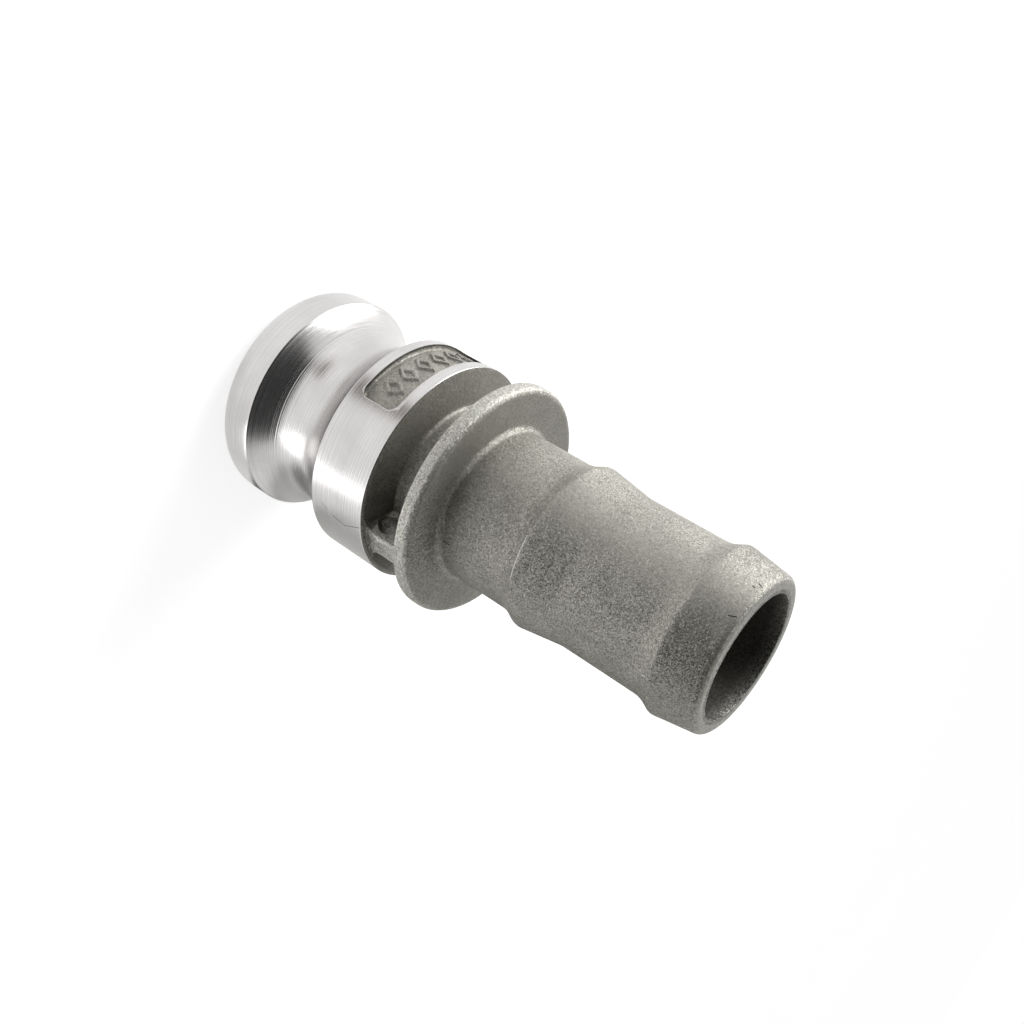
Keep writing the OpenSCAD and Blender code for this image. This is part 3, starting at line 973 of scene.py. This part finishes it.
def eye_outline(inset):
    """The eye's outline between the two faces. Half of it is mirrored, since both sides are alike."""
    side = EYE_W / 2 - inset
    flare = side + EYE_FILLET + inset + FLARE_SPARE
    half = [
        (flare, -EYE_SUNK, 0),
        (flare, 0, 0),
        (side, 0, EYE_FILLET + inset),
        (side, WAIST_LEN, EYE_FILLET + inset),
        (flare, WAIST_LEN, 0),
        (flare, WAIST_LEN + EYE_SUNK, 0),
    ]
    return rounded(half + [(-x, y, r) for x, y, r in reversed(half)])


edge_angles = [math.pi / 2 * i / EDGE_STEPS for i in range(EDGE_STEPS + 1)]
levels = [(EYE_ROOT, 0)] + [
    (EYE_REACH - EYE_EDGE + EYE_EDGE * math.sin(a), EYE_EDGE * (1 - math.cos(a))) for a in edge_angles
]
eye = stacked(
    "eye",
    [[(x, p.x, collar_back + p.y) for p in eye_outline(inset)] for x, inset in levels],
    sand_cast_aluminium,
)
print("eye:", len(eye.data.polygons), "faces")

# %% The hole through the eye
EYE_HOLE_R = 2
EYE_HOLE_REACH = 17.8
EYE_HOLE_RISE = 2.9
HOLE_EDGE = 0.2
HOLE_EDGE_LEN = 0.3
HOLE_STEPS = 48

hole_z = collar_back + EYE_HOLE_RISE
hole_levels = [
    (-EYE_W / 2 - EYE_FILLET, EYE_HOLE_R + HOLE_EDGE),
    (-EYE_W / 2 - HOLE_EDGE_LEN, EYE_HOLE_R + HOLE_EDGE),
    (-EYE_W / 2, EYE_HOLE_R + HOLE_EDGE / 2),
    (-EYE_W / 2 + HOLE_EDGE_LEN, EYE_HOLE_R),
]
hole_levels += [(-y, r) for y, r in reversed(hole_levels)]
hole_angles = [math.tau * i / HOLE_STEPS for i in range(HOLE_STEPS)]
hole_tool = stacked(
    "hole_tool",
    [[(EYE_HOLE_REACH + r * math.sin(a), y, hole_z + r * math.cos(a)) for a in hole_angles]
     for y, r in hole_levels],
    sand_cast_aluminium,
)
print("hole tool:", len(hole_tool.data.polygons), "faces, hole at", round(hole_z, 2), "mm")

# %% [markdown]
# ## Putting the metal together
# A casting is one solid, so the eye is joined to the body and the hole and the pocket
# are taken away. The exact solver keeps the crisp line where the lathe cut across the
# pocket's wall. Faces that come from a tool keep the tool's cast finish.

# %% Joining and cutting
for tool, operation in ((eye, "UNION"), (hole_tool, "DIFFERENCE"), (pocket_tool, "DIFFERENCE")):
    boolean = body.modifiers.new(tool.name, "BOOLEAN")
    boolean.operation = operation
    boolean.solver = "EXACT"
    boolean.material_mode = "TRANSFER"
    boolean.object = tool
keep_result(body)
for tool in (eye, hole_tool, pocket_tool):
    bpy.data.objects.remove(tool)
print("metal:", len(body.data.polygons), "faces, finishes:", [m.name for m in body.data.materials])

# %% [markdown]
# ## Painted shade in narrow places
# Narrow places are painted darker, as painted shade: the pocket's wall, the eye's hole,
# and the collar's back face beside the eye, fading with the angle from the eye. A
# finish can't see what lies near it, so each vertex is asked for its place, and the
# cast finish reads the share that it gets.

# %% The share of painted shade on each vertex
WALL_SHADE = 1
HOLE_SHADE = 0.7
CORNER_SHADE = 0.8
CORNER_ANGLE = 55
CORNER_FADE = 30
CLOSE = 0.02
EDGE_MARGIN = 0.05


def painted_shade_share(x, y, z):
    """How much painted shade a place on the metal gets, from 0 to 1."""
    r = math.hypot(x, y)
    if collar_back + EDGE_MARGIN < z < collar_back + WAIST_SLOPE and r > WAIST_R:
        from_eye = abs(math.degrees(math.atan2(y, x)))
        return CORNER_SHADE * min(1, max(0, (CORNER_ANGLE - from_eye) / CORNER_FADE))
    if abs(y) < EYE_W / 2 and math.hypot(x - EYE_HOLE_REACH, z - hole_z) < EYE_HOLE_R + CLOSE:
        return HOLE_SHADE
    on_wall = pocket_floor_r + MARK_H + CLOSE < r < HEAD_R + CLOSE
    return WALL_SHADE if on_wall and abs(z - pocket_z) < POCKET_LEN / 2 else 0


shaded = [painted_shade_share(*(vertex.co / MM)) for vertex in body.data.vertices]
body.data.attributes.new("shaded", "FLOAT", "POINT").data.foreach_set("value", shaded)
print("dirt on", sum(s > 0 for s in shaded), "of", len(shaded), "vertices")

# %% [markdown]
# ## Smooth faces and the part's place
# Faces are shaded smooth, except across sharp edges, because the real metal has no
# flat strips. The metal then rides on the part's only body and replaces its only node.

# %% Finishing the metal
SHARP = math.radians(32)
body.data.polygons.foreach_set("use_smooth", [True] * len(body.data.polygons))
body.data.set_sharp_from_angle(angle=SHARP)

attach(body, "root")
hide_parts("hose_adapter")
print("metal:", body.name, "with", len(body.data.vertices), "vertices")

# %% [markdown]
# ## White paper
# A photographer would lay such a part on white paper, under large soft lamps. The paper
# lights itself a little, but only in what the camera and the metal see of it, so it
# looks white and keeps the soft shadow. A faint noise keeps its grey from being flat.
# The studio is measured in metres.

# %% The paper
PAPER_GLOW = 0.63
PAPER_CLOUDS = 60

paper, tree, shader = new_material("white_paper")
tree.nodes.remove(shader)
cloth = add(tree, "ShaderNodeTexNoise", {"Scale": PAPER_CLOUDS, "Detail": 3.0})
cloth = add(tree, "ShaderNodeMix", {0: cloth, 6: colour("#C6C6C6"), 7: colour("#CCCCCC")}, out=2,
            data_type="RGBA")
lit = add(tree, "ShaderNodeBsdfDiffuse", {"Color": cloth})
ray = add(tree, "ShaderNodeLightPath", out="Is Camera Ray")
seen = ray
for operation, value in (("ADD", ray.node.outputs["Is Glossy Ray"]),
                         ("ADD", ray.node.outputs["Is Transmission Ray"]), ("MULTIPLY", PAPER_GLOW)):
    seen = add(tree, "ShaderNodeMath", {0: seen, 1: value}, operation=operation)
glow = add(tree, "ShaderNodeEmission", {"Color": (1, 1, 1, 1), "Strength": seen})
both = add(tree, "ShaderNodeAddShader", {0: lit, 1: glow})
tree.links.new(both, tree.nodes["Material Output"].inputs["Surface"])
print("material:", paper.name, "with", len(tree.nodes), "nodes")


# %% Sheets and places around the part, in metres
MIDDLE = 0.05
FLOOR_SIZE = 80


def sheet(name, width, height, material):
    """A flat sheet that stands in the scene as part of the studio."""
    corners = [(x * width / 2, y * height / 2, 0) for x, y in ((-1, -1), (1, -1), (1, 1), (-1, 1))]
    mesh = bpy.data.meshes.new(name)
    mesh.from_pydata(corners, [], [(0, 1, 2, 3)])
    mesh.materials.append(material)
    thing = show(bpy.data.objects.new(name, mesh))
    return thing


def facing(azimuth, elevation, distance):
    """A place around the part, turned to its middle. Lamps and sheets face along their -Z."""
    a, e = math.radians(azimuth), math.radians(elevation)
    away = Vector((math.cos(e) * math.cos(a), math.cos(e) * math.sin(a), math.sin(e)))
    turned = away.to_track_quat("Z", "Y").to_matrix().to_4x4()
    return Matrix.Translation(Vector((0, 0, MIDDLE)) + away * distance) @ turned


def on_floor(azimuth, distance, rise):
    """A place that lies flat near the floor, with its length pointing away from the part."""
    turn = Matrix.Rotation(math.radians(azimuth), 4, "Z")
    return turn @ Matrix.Translation((distance, 0, rise)) @ Matrix.Rotation(-math.pi / 2, 4, "Z")


sheet("floor", FLOOR_SIZE, FLOOR_SIZE, paper)
print("floor:", FLOOR_SIZE, "m wide")

# %% [markdown]
# ## Cards for the metal to mirror
# Bare metal is mostly what it mirrors, so a photographer places cards around it. A dark
# card stands beside the camera and draws the dark band into the groove and the head.
# The others lie on the floor. A narrow warm one makes the soft band above the dark one.
# A pale one, a middle grey one and a long dark one farther off take the glare of the
# paper out of the side that is lowest in the picture. Each card shows only in the
# metal, so that it takes no light from the part and throws no shadow.

# %% The cards, in metres
CARD_CLOUDS = 90
CARD_ROUGHNESS = 0.9


def card(name, width, height, place, dark, pale):
    """A card that only the metal sees, in a grey that wanders between two tones."""
    material, tree, shader = new_material(name)
    shade = add(tree, "ShaderNodeTexNoise", {"Scale": CARD_CLOUDS, "Detail": 2.0})
    shade = add(tree, "ShaderNodeMix", {0: shade, 6: colour(dark), 7: colour(pale)}, out=2, data_type="RGBA")
    tree.links.new(shade, shader.inputs["Base Color"])
    shader.inputs["Roughness"].default_value = CARD_ROUGHNESS
    thing = sheet(name, width, height, material)
    thing.matrix_world = place
    thing.visible_camera = False
    thing.visible_diffuse = False
    thing.visible_shadow = False


LOW = 0.5 * MM
HIGHER = 1 * MM
card("dark_card", 1.1, 0.6, facing(-41.5, 31, 0.42), "#1C1C1C", "#242424")
card("pale_card", 0.12, 0.085, on_floor(80, 0.0785, LOW), "#DCDCDA", "#E2E2E0")
card("near_card", 0.06, 0.0145, on_floor(68, 0.0288, LOW), "#A8A8A6", "#B0B0AE")
card("grey_card", 0.26, 0.8, on_floor(84, 0.52, HIGHER), "#2C2C2A", "#343432")
card("warm_card", 0.022, 0.13, on_floor(-84, 0.115, HIGHER), "#857A76", "#8F8480")

# %% [markdown]
# ## Light
# The sky is a white tent that is brightest near the horizon and darker overhead. One
# large soft lamp stands to the left of the camera and lights the side that is uppermost
# in the picture. A narrow lamp that lies on the floor draws the sharp bright line down
# the collar.

# %% The sky
SKY_BRIGHT_TO = 0.3
SKY_DARK_FROM = 0.95
SKY_TOP = 0.35

world = bpy.data.worlds.new("studio")
bpy.context.scene.world = world
world.use_nodes = True
tree = world.node_tree
background = tree.nodes["Background"]
toward = add(tree, "ShaderNodeSeparateXYZ", {0: add(tree, "ShaderNodeTexCoord")})
sky = add(tree, "ShaderNodeMapRange",
          {0: toward.node.outputs[2], 1: SKY_BRIGHT_TO, 2: SKY_DARK_FROM, 3: 1, 4: SKY_TOP},
          interpolation_type="SMOOTHSTEP")
tree.links.new(sky, background.inputs["Strength"])
background.inputs["Color"].default_value = (1, 1, 1, 1)
print("sky:", SKY_TOP, "of its light overhead")


# %% Lamps, in metres and watts
def soft_box(name, place, width, watts):
    """A square lamp with an even, soft light."""
    lamp = bpy.data.lights.new(name, "AREA")
    lamp.shape = "SQUARE"
    lamp.size = width
    lamp.energy = watts
    thing = show(bpy.data.objects.new(name, lamp))
    thing.matrix_world = place
    return thing


FACE_UP = Matrix.Rotation(math.pi, 4, "Y")
key = soft_box("key", facing(-155, 26, 0.5), 0.4, 2.5)
strip = soft_box("strip", on_floor(-5, 0.09, 2 * MM) @ FACE_UP, 0.014, 0.01)
strip.data.shape = "RECTANGLE"
strip.data.size_y = 0.12
strip.visible_camera = False
bpy.context.scene.view_settings.view_transform = "Standard"
print("lamps:", key.name, key.data.energy, "W,", strip.name, round(strip.data.energy, 3), "W")
